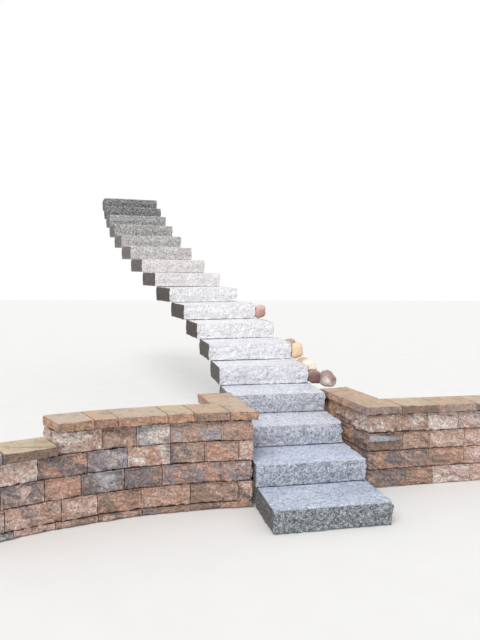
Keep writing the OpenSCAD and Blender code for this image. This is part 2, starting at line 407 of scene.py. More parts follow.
# %% [markdown]
# The relief belongs on the split faces, and has to fade where two stones meet, or they would cut
# into each other. A vertex group could be painted by hand, but a rule does the same on every
# stone. The finishes need to know how high a point lies in its stone and whether it is on an end,
# so the mesh keeps both.

# %% Weighting the split faces
RIM_SHARE = 0.8
END_SHARE = 0.3


def weigh(stone, low, high, split, edge, sawn):
    """Gives each point its share of the relief: all of it on a split face, less along its edges,
    and the sawn share elsewhere. Keeps its height, from 0 to 1, and whether it is on an end."""
    shares, heights, ends = [], [], []
    for vertex in stone.data.vertices:
        rim = min(vertex.co.z - low.z, high.z - vertex.co.z)
        inside = min(on_side(vertex.co, low, high, side) for side in split)
        meets = min(on_side(vertex.co, low, high, side) for side in SIDES if side not in split)
        share = sawn
        if inside < edge:
            share = END_SHARE if meets < edge else RIM_SHARE if rim <= edge else 1.0
        if rim < TOUCH and inside > edge:
            share = 0.0
        shares.append(share)
        heights.append((vertex.co.z - low.z) / (high.z - low.z))
        ends.append(any(on_side(vertex.co, low, high, side) < TOUCH for side in ("left", "right")))
    group = stone.vertex_groups.new(name="relief")
    for index, share in enumerate(shares):
        group.add([index], share, "REPLACE")
    for name, values in (("height", heights), ("end", ends)):
        layer = stone.data.attributes.new(name, "FLOAT", "POINT")
        layer.data.foreach_set("value", [float(value) for value in values])


# %% [markdown]
# Split stone breaks in hollows and ridges of several sizes at once. Each size is a Displace
# modifier with its own noise, applied so that the relief is real geometry. The noise is read at
# the stone's own place in the frame, so no two stones break alike, or in the space of a stretched
# empty, which gives wall blocks their level ledges.


# %% Breaking a face
def new_noise(name, size, kind="HARD_NOISE", basis="ORIGINAL_PERLIN", depth=2):
    cloud = bpy.data.textures.new(name, "CLOUDS")
    cloud.noise_scale = size
    cloud.noise_type = kind
    cloud.noise_basis = basis
    cloud.noise_depth = depth
    return cloud


def break_stone(stone, reliefs, crease):
    """Displaces a stone by each relief in turn, and shades it smooth up to a crease's angle. A
    relief is a noise, its strength, its value that moves nothing, and the space it is read in."""
    only(stone)
    for noise, strength, level, space in reliefs:
        relief = stone.modifiers.new("relief", "DISPLACE")
        relief.texture = noise
        relief.strength = strength
        relief.mid_level = level
        if "relief" in stone.vertex_groups:
            relief.vertex_group = "relief"
        relief.texture_coords = "OBJECT" if space else "LOCAL"
        relief.texture_coords_object = space
        bpy.ops.object.modifier_apply(modifier=relief.name)
    bpy.ops.object.shade_smooth_by_angle(angle=crease)


# %% [markdown]
# A stone is modelled once and copied, each copy with its own mesh. When one is finished, the frame
# is told which node it stands for, which body it rides on and whose finish it wears.


# %% Copying and handing over
def own_copy(stone, name):
    """A copy of a stone with its own mesh."""
    copied = stone.copy()
    copied.data = stone.data.copy()
    copied.name = name
    copied.data.name = name
    scene.collection.objects.link(copied)
    return copied


def tint_mesh(mesh, name, colour):
    """Writes one colour over a whole mesh, as an attribute that its material reads."""
    layer = mesh.attributes.new(name, "FLOAT_COLOR", "POINT")
    layer.data.foreach_set("color", [*colour, 1.0] * len(mesh.vertices))


def hand_over(piece, node, finish):
    """Gives a finished piece its material and tells the frame what it is."""
    piece.data.materials.clear()
    piece.data.materials.append(finish)
    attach(piece, "root")
    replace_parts(piece, node)


# %% [markdown]
# A slab's tread is flamed, which leaves it flat and fine-grained, and its riser and ends are
# split. The bottom slab isn't turned, so its node's box gives the slab's size with the bellies
# included, and it is cut there as the master of all the others.

# %% The master slab
ARRIS = 0.006
RISER_BELLY = 0.009
END_BELLY = 0.005
BELLY_AT = 0.55
CORNER_PITCH = 0.010
SLAB_CELL = 0.006
SLAB_EDGE = 0.03
SLAB_SAWN = 0.3
SPLIT_SIDES = ("front", "left", "right")

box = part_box("step_1")
low = Vector((box[0].x + END_BELLY, box[0].y + RISER_BELLY, 0))
high = Vector((box[1].x - END_BELLY, box[1].y, box[1].z))
slab = cut_stone("slab", low, high, CORNER_PITCH, ("front",), ARRIS, SLAB_CELL, SPLIT_SIDES)
for side, proud in (("left", END_BELLY), ("right", END_BELLY), ("front", RISER_BELLY)):
    pull_belly(slab, low, high, side, BELLY_AT * high.z, proud)
weigh(slab, low, high, SPLIT_SIDES, SLAB_EDGE, SLAB_SAWN)
print("cells of the master slab:", len(slab.data.polygons))

# %% [markdown]
# Every other slab is a copy, laid where its own node lies. The places could be typed in, but
# reading them keeps the slabs on their nodes. A node's bed is symmetrical about the slab's middle
# line, so the spread of its corners gives the turn.


# %% Where a slab lies
def slab_place(node):
    """Where a node's slab lies: its bed's centre on plan, its turn, and its bed's height."""
    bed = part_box(node)[0].z
    found = {(round(v.co.x, 5), round(v.co.y, 5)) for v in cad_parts[node].data.vertices
             if v.co.z < bed + TOUCH}
    points = [Vector(point) for point in sorted(found)]
    centre = sum(points, Vector((0, 0))) / len(points)
    across = sum((p - centre).x ** 2 for p in points)
    back = sum((p - centre).y ** 2 for p in points)
    both = sum((p - centre).x * (p - centre).y for p in points)
    turn = math.atan2(2 * both, across - back) / 2
    return centre, turn, bed


slab_centre = slab_place("step_1")[0]


def lay_slab(node):
    """A copy of the master slab, moved to a node's place."""
    centre, turn, bed = slab_place(node)
    laid = own_copy(slab, node.replace("step", "slab"))
    to_centre = Matrix.Translation((-slab_centre.x, -slab_centre.y, 0))
    to_place = Matrix.Translation((centre.x, centre.y, bed)) @ Matrix.Rotation(turn, 4, "Z")
    laid.data.transform(to_place @ to_centre)
    return laid


print("turn of the tenth slab:", round(math.degrees(slab_place("step_10")[1]), 1), "degrees")

# %% [markdown]
# Granite is a packed mass of crystals: pale feldspar, glassy quartz and black flecks of mica.
# Noise of two sizes gives the grain, cells the flecks, and slow noise the cloudy changes of tone.
# The flamed tread is paler and finer than the broken face. The ends are darkened partly by soil
# and partly by a painted shade for the bank's shadow. The foot of each riser gets a painted shade,
# in the crease above the tread below, and its top edge a painted highlight. A picture wrapped
# round the stone could show this, but a network that reads the stone's place has no seams, and no
# two slabs match.

# %% Granite
STREAK = paint(244, 247, 252)
MICA = paint(62, 62, 66)
FELDSPAR = paint(252, 252, 252)
EDGE_HIGHLIGHT = paint(232, 236, 242)
PAINTED_FOOT_SHADE = paint(66, 60, 54)
END_SOIL_AND_SHADE = paint(66, 57, 51)


def granite_finish():
    rock = Finish("granite")
    height = rock.brought("height", "Fac")
    end = rock.brought("end", "Fac")
    tread = rock.facing_up(0.75, 0.93)
    # The tones that the mesh brings hold painted light as well as the granite's own tone.
    tone = rock.mix(tread, rock.brought("face_tone_and_light"), rock.brought("tread_tone_and_light"))
    paleness = rock.node("SeparateColor", {}, {0: tone}, 1)
    clumps = rock.noise(42.0, 3.0, 0.7)
    crystals = rock.noise(200.0, 3.0, 0.75) * 0.62 + clumps * 0.38
    grain = rock.between(crystals + paleness * 0.13 - 0.05, 0.43, 0.57)
    shade = rock.mix(paleness, (0.28, 0.29, 0.31), (0.48, 0.48, 0.49))
    dark = rock.toned(tone, tread, shade, (0.42, 0.43, 0.45))
    light = rock.mix(0.48 - tread * 0.12, tone, (1.0, 1.0, 1.0))
    body = rock.mix(grain, dark, light)
    clouds = rock.between(rock.noise(9.0, 6.0, 0.7), 0.30, 0.70)
    body = rock.toned(body, clouds, (0.89, 0.89, 0.90), (1.10, 1.10, 1.10))
    streaks = rock.noise(24.0, 4.0, 0.6, rock.place((5.0, 1.0, 1.0)))
    body = rock.mix(rock.between(streaks, 0.52, 0.75) * tread * 0.4, body, STREAK)
    flecks = rock.crystals(190.0)
    body = rock.mix(rock.between(flecks, 0.14, 0.05) * (0.6 - tread * 0.3), body, MICA)
    feldspar = rock.between(flecks, 0.9, 0.97) * 0.4
    body = rock.mix(feldspar, body, FELDSPAR)
    # Painted highlight along each riser's top edge.
    edge_highlight = rock.between(height, 0.94, 0.985) * (1 - tread)
    body = rock.mix(edge_highlight * 0.4, body, EDGE_HIGHLIGHT)
    # Painted shade at the foot of each riser, in the crease above the tread below.
    foot_shade = rock.between(height + rock.noise(30.0) * 0.08, 0.12, 0.03) * (1 - tread)
    body = rock.mix(foot_shade * (0.5 - paleness * 0.35), body, PAINTED_FOOT_SHADE)
    # The ends: a soil stain together with a painted shade for the bank's shadow.
    grime_and_shade = end * rock.between(rock.noise(8.0, 5.0, 0.6) - height * 0.12, 0.02, 0.30)
    body = rock.mix(grime_and_shade * (0.45 + paleness * 0.52), body, END_SOIL_AND_SHADE)
    grit = rock.noise(240.0, 3.0, 0.65)
    chips = rock.noise(85.0, 4.0, 0.65) * 0.6 + clumps * 0.9
    broken = rock.bump(chips, 0.009, rock.bump(grit, 0.0022))
    skin = rock.either(tread, broken, rock.bump(grit, 0.0016))
    return rock.surface(body, 0.86 - tread * 0.06 - feldspar * 0.2, skin)


granite = granite_finish()
print("nodes in the granite:", len(granite.node_tree.nodes))

# %% [markdown]
# The slabs don't all read alike. At the foot they are blue-grey, in the middle almost white, and
# towards the top a browner and darker grey. Part of this is the granite's own tone and part is
# painted light: the pale middle is a painted patch of sunlight, the dark top a painted shade of
# trees, and each riser's tone is set lighter or darker than its tread's by how light fell on it. A
# few tones are named along the flight, for the tread and for the broken faces, and each slab's are
# mixed from the two nearest.

# %% Tones along the flight
# Each row is a slab, its tread's tone and its faces' tone, painted light included: a sunlit middle
# and a shaded top.
FLIGHT_TONES_AND_LIGHT = (
    (1, (179, 194, 222), (118, 132, 140)),
    (2, (192, 204, 234), (165, 176, 200)),
    (3, (205, 212, 230), (186, 192, 212)),
    (4, (214, 218, 232), (192, 197, 214)),
    (5, (230, 231, 239), (238, 239, 248)),
    (7, (238, 238, 244), (252, 250, 254)),
    (9, (240, 238, 241), (252, 249, 252)),
    (11, (234, 229, 225), (238, 231, 226)),
    (12, (216, 211, 207), (210, 204, 200)),
    (14, (186, 180, 174), (178, 172, 166)),
    (15, (172, 169, 166), (170, 167, 165)),
    (16, (146, 144, 143), (124, 123, 123)),
    (17, (144, 142, 140), (128, 126, 123)),
)


def tones_and_light_at(number):
    """The tones of a slab's tread and of its broken faces, painted light included, by its number
    from the foot.
    """
    for (first, *start), (last, *end) in zip(FLIGHT_TONES_AND_LIGHT, FLIGHT_TONES_AND_LIGHT[1:]):
        if number <= last:
            share = (number - first) / (last - first)
            return [Vector(paint(*a)).lerp(Vector(paint(*b)), share) for a, b in zip(start, end)]


# %% [markdown]
# Now the slabs are laid. Big hollows come first and small facets over them. A few right-hand
# corners were knocked in handling: a knock is its slab, its height in the slab from 0 to 1, how
# far the corner moves, and how far round it the stone follows.

# %% Laying the slabs
KNOCKS = (
    (1, 1.0, (-0.006, 0.008, -0.010), 0.022),
    (3, 0.9, (-0.022, 0.020, -0.010), 0.060),
    (3, 0.4, (-0.012, 0.014, 0.0), 0.070),
    (9, 1.0, (-0.008, 0.010, -0.012), 0.025),
)
SLAB_CREASE = math.radians(38)

hollows = new_noise("hollows", 0.075)
facets = new_noise("facets", 0.026, "SOFT_NOISE", "IMPROVED_PERLIN", 3)
slab_relief = ((hollows, 0.027, 0.43, None), (facets, 0.019, 0.5, None))
step_count = sum(name.startswith("step_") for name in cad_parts)
for number in range(1, step_count + 1):
    node = f"step_{number}"
    laid = lay_slab(node)
    for slab_number, share, move, reach in KNOCKS:
        if slab_number == number:
            low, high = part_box(node)
            knocked = Vector((high.x, low.y, low.z + share * (high.z - low.z)))
            knock_off(laid, knocked, Vector(move), reach)
    break_stone(laid, slab_relief, SLAB_CREASE)
    for name, tone in zip(("tread_tone_and_light", "face_tone_and_light"), tones_and_light_at(number)):
        tint_mesh(laid.data, name, tone)
    hand_over(laid, node, granite)
bpy.data.objects.remove(slab)
print("slabs laid:", step_count)

# %% [markdown]
# The walls. A course's node is one plain solid, and its face and back are two lines on plan,
# straight or curved. Both are read from the node's bed, and the blocks are cut between them.

# %% Lines that a course follows
WALL_FACE = 0.3
SAME_WAY = 0.7


def bed_line(node, looks):
    """The line on plan of a node's side that looks one way, in order of distance along it."""
    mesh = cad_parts[node].data
    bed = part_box(node)[0].z
    found = set()
    for face in mesh.polygons:
        flat = Vector((face.normal.x, face.normal.y))
        if flat.length < WALL_FACE or flat.normalized().dot(looks) < SAME_WAY:
            continue
        for index in face.vertices:
            co = mesh.vertices[index].co
            if co.z < bed + TOUCH:
                found.add((round(co.x, 4), round(co.y, 4)))
    along = Vector((-looks.y, looks.x))
    return sorted((Vector(point) for point in found), key=lambda point: point.dot(along))


def point_along(line, share):
    """The point at a share of a line's whole length."""
    lengths = [(b - a).length for a, b in zip(line, line[1:])]
    left = share * sum(lengths)
    for a, b, length in zip(line, line[1:], lengths):
        if left <= length or b is line[-1]:
            return a.lerp(b, left / length)
        left -= length


def line_length(line):
    return sum((b - a).length for a, b in zip(line, line[1:]))


AHEAD = Vector((0, -1))
RIGHTWARD = Vector((1, 0))
print("face of the left wall:", round(line_length(bed_line("left_course_1", AHEAD)), 2), "m")

# %% [markdown]
# Three master blocks are enough: one for a wall's corner, where an end is split too, one for its
# run, and one for a far end that shows. They are cut at a usual length and fitted to each
# stretch, so their relief comes after the fitting. A cap is cut the same way, thinner.

# %% Master blocks and caps
BLOCK_LENGTH = 0.3
BLOCK_EDGE = 0.012
BLOCK_SAWN = 0.12
BLOCK_CUT = {"depth": 0.235, "ease": 0.0025, "cell": 0.0065, "belly": 0.010}
CAP_CUT = {"depth": 0.29, "ease": 0.004, "cell": 0.006, "belly": 0.004}


def masters_for(node, depth, ease, cell, belly):
    """A corner master, a plain one and an end one, as tall as a node. Each has its face at
    y = 0, its bed at z = 0 and its first end at x = 0."""
    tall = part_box(node)[1].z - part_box(node)[0].z
    low = Vector((0, 0, 0))
    high = Vector((BLOCK_LENGTH, depth, tall))
    made = []
    for split in (("front", "left"), ("front",), ("front", "right")):
        block = cut_stone(f"{node}_master", low, high, ease, ("front", "back"), ease, cell, split)
        for side in split:
            pull_belly(block, low, high, side, tall / 2, belly)
        weigh(block, low, high, split, BLOCK_EDGE, BLOCK_SAWN)
        made.append(block)
    return made


masters = masters_for("left_course_1", **BLOCK_CUT)
low_masters = masters_for("left_base_course", **BLOCK_CUT)
cap_masters = masters_for("left_wall_cap", **CAP_CUT)
print("cells of a corner block:", len(masters[0].data.polygons))

# %% [markdown]
# A block takes a stretch of the face line and the matching stretch of the back line, so a row of
# straight blocks follows a curve as a mason would lay it. Joints are lengths along the face from
# the wall's corner, and one too near the far end is left out. Every block stands a hair proud or
# shy of the next, which shows the joints better than a wide gap would.

# %% Laying a course
BLOCK_GAP = 0.0012
FACE_STAGGER = 0.004
SHORTEST_BLOCK = 0.08
SEED = 17
draw = random.Random(SEED)


def fit_between(block, corners, low_z):
    """Stretches a copy of a master between four corners on plan: face start, face end, back end
    and back start."""
    face_start, face_end, back_end, back_start = corners
    depth = max(v.co.y for v in block.data.vertices)
    for vertex in block.data.vertices:
        along = vertex.co.x / BLOCK_LENGTH
        on_face = face_start + (face_end - face_start) * along
        on_back = back_start + (back_end - back_start) * along
        spot = on_face + (on_back - on_face) * vertex.co.y / depth
        vertex.co = (spot.x, spot.y, vertex.co.z + low_z)


def join_blocks(blocks, name):
    """Joins blocks into one piece, with all faces pointing outwards."""
    only(blocks[0])
    for block in blocks:
        block.select_set(True)
    bpy.ops.object.join()
    course = bpy.context.object
    course.name = name
    course.data.name = name
    start_edit()
    bpy.ops.mesh.normals_make_consistent(inside=False)
    end_edit()
    return course


def lay_course(node, looks, from_right, joints, chosen, tones, gap=BLOCK_GAP):
    """Cuts a course's blocks and joins them. chosen holds the masters for the corner, the run
    and the far end, and tones a pair of colours for each block."""
    name = node + ("_stones" if node.endswith("cap") else "_blocks")
    face = bed_line(node, looks)
    back = bed_line(node, -looks)[::-1]
    if from_right:
        face, back = face[::-1], back[::-1]
    whole = line_length(face)
    stops = [0.0] + [j / whole for j in joints if j < whole - SHORTEST_BLOCK] + [1.0]
    seam = gap / 2 / whole
    blocks = []
    for index, (start, end) in enumerate(zip(stops, stops[1:])):
        kind = 0 if index == 0 else 2 if end == 1 else 1
        cut = own_copy(chosen[kind], f"{name}_{index}")
        start += seam if index else 0
        end -= seam if end < 1 else 0
        corners = [point_along(face, start), point_along(face, end),
                   point_along(back, end), point_along(back, start)]
        proud = (corners[0] - corners[3]).normalized() * draw.uniform(-FACE_STAGGER, FACE_STAGGER)
        corners[0] += proud
        corners[1] += proud
        fit_between(cut, corners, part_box(node)[0].z)
        for layer, tone in zip(("main", "patch"), tones[index % len(tones)]):
            tint_mesh(cut.data, layer, tone)
        blocks.append(cut)
    print(name, len(blocks))
    return join_blocks(blocks, name)


# %% [markdown]
# Wall blocks are moulded from coloured concrete and split, so each shows two colours run into each
# other: tan into cream, orange into charcoal. The mesh brings a main and a patch colour for each
# block, and slanting noise decides where one gives way to the other. Dark and pale grit lies over
# both. Spots of painted shade and painted highlight stand for shadowed pits and lit lumps, and a
# painted shade darkens each block's lower edge, over the bed joint.

# %% Split block
VEIL = paint(124, 115, 118)
WARM_STREAK = paint(206, 166, 140)
BLOOM = paint(232, 222, 214)
DARK_GRIT = paint(70, 66, 66)
PALE_GRIT = paint(236, 228, 220)
BED_SHADE = paint(70, 60, 54)


def block_finish():
    block = Finish("split_block")
    slanted = block.place((2.6, 1.0, 0.9), (0.5, 0.62, 0.0))
    ragged = block.noise(42.0, 5.0, 0.75) * 0.34 - 0.17
    share = block.between(block.noise(12.0, 4.0, 0.6, slanted) + ragged, 0.45, 0.57)
    body = block.mix(share, block.brought("main"), block.brought("patch"))
    veil = block.between(block.noise(8.0, 4.0, 0.6, slanted) + ragged, 0.53, 0.64)
    body = block.mix(veil * 0.60, body, VEIL)
    warm = block.between(block.noise(15.0, 4.0, 0.6, slanted) + ragged, 0.55, 0.66)
    body = block.mix(warm * 0.5, body, WARM_STREAK)
    bloom = block.between(block.noise(10.0, 5.0, 0.65) + ragged, 0.60, 0.74)
    body = block.mix(bloom * 0.6, body, BLOOM)
    # Painted shade and painted highlight: random spots darken like shadowed pits and lighten like
    # lit lumps.
    pits = block.between(block.noise(58.0, 5.0, 0.75), 0.34, 0.64)
    body = block.toned(body, pits, (0.56, 0.55, 0.55), (1.31, 1.31, 1.31))
    sand = block.between(block.noise(165.0, 3.0, 0.8), 0.34, 0.66)
    body = block.toned(body, sand, (0.78, 0.77, 0.77), (1.25, 1.24, 1.24))
    aggregate = block.crystals(270.0)
    body = block.mix(block.between(aggregate, 0.14, 0.05) * 0.4, body, DARK_GRIT)
    body = block.mix(block.between(aggregate, 0.9, 0.97) * 0.25, body, PALE_GRIT)
    height = block.brought("height", "Fac")
    # Painted shade along each block's lower edge, over the bed joint.
    grime_and_shade = block.between(height + block.noise(24.0) * 0.2, 0.2, 0.06)
    body = block.mix(grime_and_shade * 0.35, body, BED_SHADE)
    grit = block.noise(260.0, 3.0, 0.7)
    chips = block.noise(70.0, 5.0, 0.7)
    skin = block.bump(chips, 0.011, block.bump(grit, 0.003))
    return block.surface(body, 0.93 - share * 0.05, skin)


split_block = block_finish()
print("nodes in the split block:", len(split_block.node_tree.nodes))

# %% [markdown]
# The tones are few, and a mason would know them by name. Each course of the two long walls lists
# its joints and its blocks' pairs of tones, from the corner outwards. Drawn at random, they would
# lose the pale stretch of the right wall.

# %% Tones and joints of the long walls
TAN = paint(198, 169, 153)
ORANGE = paint(204, 164, 145)
BROWN = paint(166, 140, 124)
CREAM = paint(232, 220, 210)
PINK = paint(222, 195, 184)
CHARCOAL = paint(144, 133, 132)
PURPLE = paint(162, 149, 153)
GREY = paint(184, 180, 183)

LEFT_JOINTS = {
    0: (0.60, 0.92, 1.22, 1.50),
    1: (0.11, 0.48, 0.85, 1.17, 1.42, 1.80),
    2: (0.45, 0.73, 1.04, 1.29, 1.58),
    3: (0.11, 0.37, 0.63, 0.95, 1.24, 1.58, 1.84),
    4: (0.39, 0.64, 0.89),
}
RIGHT_JOINTS = {
    1: (0.36, 0.62, 0.98, 1.25),
    2: (0.31, 0.67, 0.94),
    3: (0.32, 0.58, 0.91, 1.22),
    4: (0.31, 0.60, 0.90),
}
LEFT_TONES = {
    0: ((BROWN, CHARCOAL), (TAN, BROWN), (BROWN, TAN), (TAN, PINK), (CHARCOAL, GREY)),
    1: ((PINK, BROWN), (BROWN, TAN), (TAN, ORANGE), (ORANGE, BROWN), (TAN, PINK), (PINK, ORANGE)),
    2: ((ORANGE, PURPLE), (CHARCOAL, BROWN), (CHARCOAL, GREY), (ORANGE, TAN), (CHARCOAL, PINK),
        (CHARCOAL, ORANGE)),
    3: ((PINK, ORANGE), (ORANGE, TAN), (TAN, CHARCOAL), (ORANGE, CREAM), (PURPLE, GREY),
        (CHARCOAL, ORANGE), (CREAM, PINK)),
    4: ((TAN, GREY), (GREY, CREAM), (TAN, BROWN), (TAN, CREAM)),
}
RIGHT_TONES = {
    1: ((CHARCOAL, BROWN), (BROWN, ORANGE), (PINK, CREAM), (PINK, TAN), (TAN, PINK)),
    2: ((ORANGE, CHARCOAL), (ORANGE, BROWN), (TAN, PINK), (PINK, CREAM)),
    3: ((BROWN, CHARCOAL), (BROWN, TAN), (TAN, PINK), (PINK, ORANGE), (CREAM, TAN)),
    4: ((TAN, CREAM), (CREAM, PINK), (PINK, GREY), (PINK, TAN)),
}

# %% [markdown]
# Less of the cheeks shows. Only their corner blocks are listed, and the others draw their tones,
# seeded to be the same each time: on the left a warm one with a cool patch, on the right a pale
# honey with a warm patch. The honey is painted light: paler than the front's tones, so that the
# right cheek's face, which turns from the lamp, reads as lit.

# %% Tones of the cheeks
# Painted light: a paler honey for the right cheek's face, which turns from the lamp.
LIT_HONEY = paint(234, 190, 158)
WARM = (TAN, ORANGE, ORANGE)
COOL = (PURPLE, PINK, TAN, BROWN)
CHEEK_PAIRS = 5
CHEEK_JOINTS = ((0.36, 0.66), (0.42,))
CHEEK_CORNERS = {
    "left_cheek_course_2": (PURPLE, ORANGE),
    "left_cheek_course_4": (ORANGE, TAN),
    "right_cheek_course_2": (ORANGE, CHARCOAL),
    "right_cheek_course_4": (TAN, CREAM),
}


def cheek_tones(node):
    """Pairs of tones for a cheek's course, from its corner on."""
    mains, patches = (WARM, COOL) if node.startswith("left") else ((LIT_HONEY,), WARM)
    drawn = [(draw.choice(mains), draw.choice(patches)) for _ in range(CHEEK_PAIRS)]
    return [CHEEK_CORNERS.get(node, drawn[0])] + drawn[1:]


# %% [markdown]
# One corner block of the right wall broke along a seam, and left a pale grey layer of itself
# standing proud, blunt at the corner and drooping to a thin end. It is one stone with the block,
# so no piece is added: the block's points are pulled out and repainted.

# %% The proud ledge
LEDGE_NODE = "right_course_3"
LEDGE_LENGTH = 0.30
LEDGE_HEIGHT = 0.76
LEDGE_HALF = 0.18
LEDGE_DROOP = 0.08
LEDGE_PROUD = 0.020
LEDGE_REACH = 0.008
LEDGE_RELIEF = 0.4
LEDGE_FACING = 0.5
SLATE = paint(176, 176, 184)


def leave_ledge(course, node):
    """Leaves a layer of the corner block standing proud, in one grey and smoother than the rest.
    Its height, half thickness and droop are shares of the course's height."""
    low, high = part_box(node)
    start = bed_line(node, AHEAD)[0].x

    def on_ledge(vertex):
        along = (vertex.co.x - start) / LEDGE_LENGTH
        if -vertex.normal.y < LEDGE_FACING or not 0 < along < 1:
            return False
        level = (vertex.co.z - low.z) / (high.z - low.z) - LEDGE_HEIGHT + LEDGE_DROOP * along
        return abs(level) < LEDGE_HALF * math.sqrt(1 - along ** 3)

    pull(course, on_ledge, (0, -LEDGE_PROUD, 0), LEDGE_REACH)
    for vertex in course.data.vertices:
        if on_ledge(vertex):
            course.vertex_groups["relief"].add([vertex.index], LEDGE_RELIEF, "REPLACE")
            for name in ("main", "patch"):
                course.data.attributes[name].data[vertex.index].color = (*SLATE, 1.0)


# %% [markdown]
# A split block shows level ledges, where it broke along its layers, and slanting facets between
# them. Two noises make them: one read in a stretched and tipped space, so its hollows are long
# and low, and a finer one that is the same in all directions.

# %% Laying the walls
LEDGE_STRETCH = (2.2, 2.2, 1.0)
LEDGE_TIP = math.radians(14)
BLOCK_CREASE = math.radians(40)
TOP_COURSE = 4

bedding = bpy.data.objects.new("bedding", None)
scene.collection.objects.link(bedding)
bedding.scale = LEDGE_STRETCH
bedding.rotation_euler = (0, LEDGE_TIP, 0)
bpy.context.view_layer.update()
ledges = new_noise("ledges", 0.055)
knobs = new_noise("knobs", 0.032)
block_relief = ((ledges, 0.044, 0.42, bedding), (knobs, 0.018, 0.42, None))


def build_course(node, looks, from_right, joints, chosen, tones):
    """Lays a course of blocks, breaks its faces and hands it over."""
    course = lay_course(node, looks, from_right, joints, chosen, tones)
    if node == LEDGE_NODE:
        leave_ledge(course, node)
    break_stone(course, block_relief, BLOCK_CREASE)
    hand_over(course, node, split_block)


walls = (("left", LEFT_JOINTS, LEFT_TONES), ("right", RIGHT_JOINTS, RIGHT_TONES))
for wall, joints, tones in walls:
    left = wall == "left"
    inward = RIGHTWARD if left else -RIGHTWARD
    for k in joints:
        stem = f"course_{k}" if k else "base_course"
        cuts = masters if k else low_masters
        run = (cuts[0], cuts[1], cuts[2 if left and k == TOP_COURSE else 1])
        build_course(f"{wall}_{stem}", AHEAD, left, joints[k], run, tones[k])
        cheek = f"{wall}_cheek_{stem}"
        build_course(cheek, inward, not left, CHEEK_JOINTS[k % 2], cuts, cheek_tones(cheek))
for spare in (*masters, *low_masters):
    bpy.data.objects.remove(spare)

# %% [markdown]
# Caps are cast smooth on top and split along the front, where they overhang. Buff runs into orange
# and grey on them, and age leaves a yellow-green cast on the flat. The mesh brings the top's
# colour as its main one and the front's as its patch. Spots of painted shade darken the hollows,
# deeper on the front. The front's lower edge is dark, partly from dirt and partly from a painted
# shade for the shadow under the overhang.

# %% Cast cap
UNDER_EDGE_SHADE = paint(58, 50, 46)
CAP_GRIT = paint(84, 76, 70)
CLOUD_FRONT, CLOUD_TOP = paint(204, 164, 140), paint(206, 174, 150)
DULL_FRONT, DULL_TOP = paint(140, 128, 124), paint(158, 152, 130)


def cap_finish():
    cap = Finish("cast_cap")
    top = cap.facing_up(0.8, 0.95)
    body = cap.mix(top, cap.brought("patch"), cap.brought("main"))
    clouds = cap.between(cap.noise(7.0, 5.0, 0.65), 0.40, 0.62)
    body = cap.mix(clouds * 0.5, body, cap.mix(top, CLOUD_FRONT, CLOUD_TOP))
    dull = cap.between(cap.noise(8.0, 5.0, 0.7), 0.46, 0.66)
    body = cap.mix(dull * 0.65, body, cap.mix(top, DULL_FRONT, DULL_TOP))
    # Painted shade: random spots darken the colour like shadowed pits, deeper on the front.
    pits = cap.between(cap.noise(60.0, 5.0, 0.75), 0.34, 0.62)
    hollow_shade = cap.mix(top, (0.66, 0.65, 0.65), (0.91, 0.91, 0.91))
    body = cap.toned(body, pits, hollow_shade, (1.10, 1.10, 1.10))
    sand = cap.between(cap.noise(150.0, 3.0, 0.8), 0.34, 0.66)
    low = cap.mix(top, (0.68, 0.67, 0.67), (0.86, 0.86, 0.86))
    high = cap.mix(top, (1.24, 1.24, 1.24), (1.1, 1.1, 1.1))
    body = cap.toned(body, sand, low, high)
    body = cap.mix(cap.between(cap.crystals(230.0), 0.14, 0.05) * 0.35, body, CAP_GRIT)
    height = cap.brought("height", "Fac")
    # Partly dirt and partly painted shade, for the shadow under the overhang on the front's lower
    # edge.
    foot_shade = cap.between(height + cap.noise(30.0) * 0.10, 0.22, 0.06) * (1 - top)
    body = cap.mix(foot_shade * 0.7, body, UNDER_EDGE_SHADE)
    fine = cap.noise(320.0, 3.0, 0.65)
    chips = cap.noise(80.0, 5.0, 0.7)
    broken = cap.bump(chips, 0.010, cap.bump(fine, 0.0024))
    skin = cap.either(top, broken, cap.bump(fine, 0.0012))
    return cap.surface(body, 0.9 - top * 0.08, skin)


cast_cap = cap_finish()
print("nodes in the cast cap:", len(cast_cap.node_tree.nodes))

# %% [markdown]
# Caps are laid like a course, from the cap masters, and the relief leaves their tops alone. Each
# run says which way it looks, whether it starts from the right, its joints, its masters and its
# pairs of tones. The lower run starts against the wall's step down and ends plainly, so its
# stones are all plain ones.

# %% Laying the caps
CAP_GAP = 0.0022
CAP_CREASE = math.radians(35)
BUFF = paint(200, 182, 167)
STRAW = paint(204, 188, 162)
SAND = paint(200, 172, 149)
RUST = paint(234, 190, 160)
DUSK = paint(202, 180, 170)
CAPS = {
    "left_wall_cap": (AHEAD, True, (0.22, 0.49, 0.69, 1.05, 1.22), (0, 1, 2), (
        (BUFF, RUST), (SAND, TAN), (STRAW, RUST), (BUFF, RUST), (SAND, ORANGE), (BUFF, RUST))),
    "left_low_cap": (AHEAD, True, (0.36,), (1, 1, 1), ((STRAW, BROWN), (STRAW, GREY))),
    "left_cheek_cap": (RIGHTWARD, False, (0.24,), (0, 1, 2), ((BUFF, TAN), (SAND, RUST))),
    "right_wall_cap": (AHEAD, False, (0.32, 0.66, 1.02, 1.30), (0, 1, 1), (
        (SAND, DUSK), (STRAW, BROWN), (SAND, DUSK), (BUFF, TAN), (SAND, DUSK))),
    "right_cheek_cap": (-RIGHTWARD, True, (0.36,), (0, 1, 2), ((SAND, RUST), (SAND, TAN))),
}

cap_relief = ((ledges, 0.026, 0.4, bedding), (knobs, 0.026, 0.4, None))
for node, (looks, from_right, joints, kinds, tones) in CAPS.items():
    chosen = [cap_masters[kind] for kind in kinds]
    laid = lay_course(node, looks, from_right, joints, chosen, tones, CAP_GAP)
    break_stone(laid, cap_relief, CAP_CREASE)
    hand_over(laid, node, cast_cap)
for spare in (*cap_masters, bedding):
    bpy.data.objects.remove(spare)

